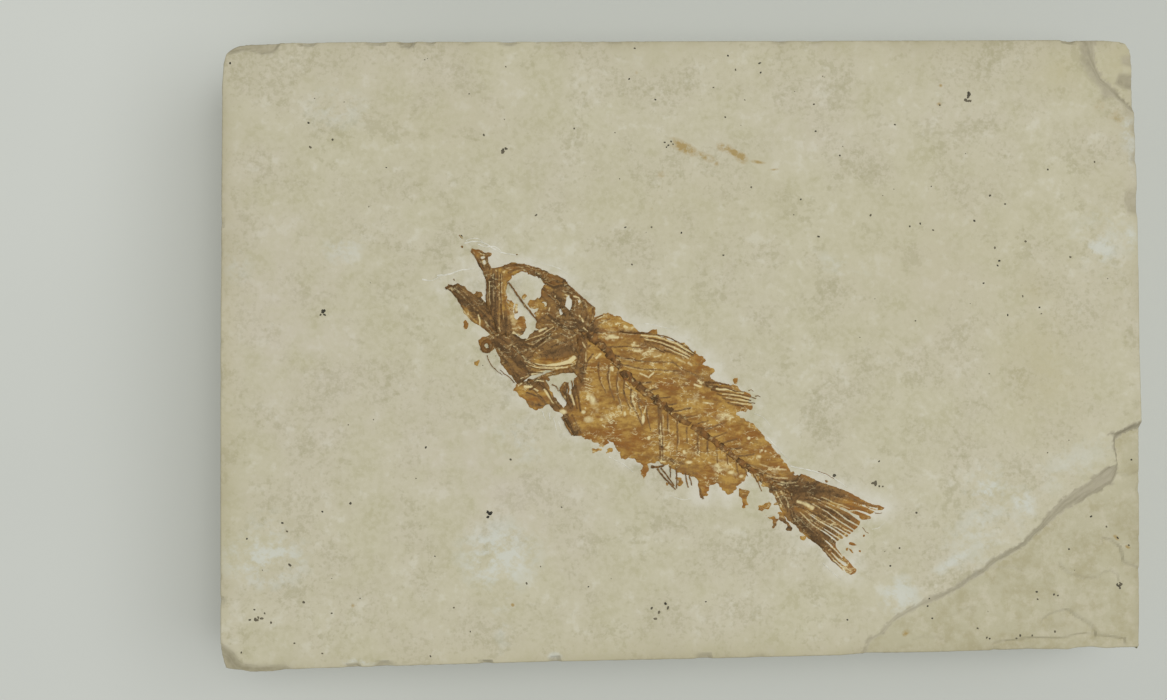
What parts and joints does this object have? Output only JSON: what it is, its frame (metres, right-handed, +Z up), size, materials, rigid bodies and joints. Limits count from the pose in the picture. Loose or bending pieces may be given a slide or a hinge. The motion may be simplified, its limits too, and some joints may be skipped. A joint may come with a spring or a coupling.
{
  "type": "fossil fish slab",
  "caption": "Small rectangular slab of fine pale limestone with a flattened fossil fish, bones and skin in low relief, lying face up.",
  "frame": {"origin": "middle of the slab's outline, on the flat underside that it rests on", "axes": "+X along the slab's length, towards the fish's tail; +Y across the slab, towards the fish's back; +Z up, out of the face with the fish"},
  "size_m": [0.0494, 0.034, 0.0087],
  "materials": {
    "limestone": "fine matt limestone, split face with sawn edges",
    "fossil_bone": "brown mineral bone with ochre skin film, satin"
  },
  "bodies": {
    "root": {"limestone_slab": "limestone", "fossil_fish": "fossil_bone"}
  },
  "joints": []
}
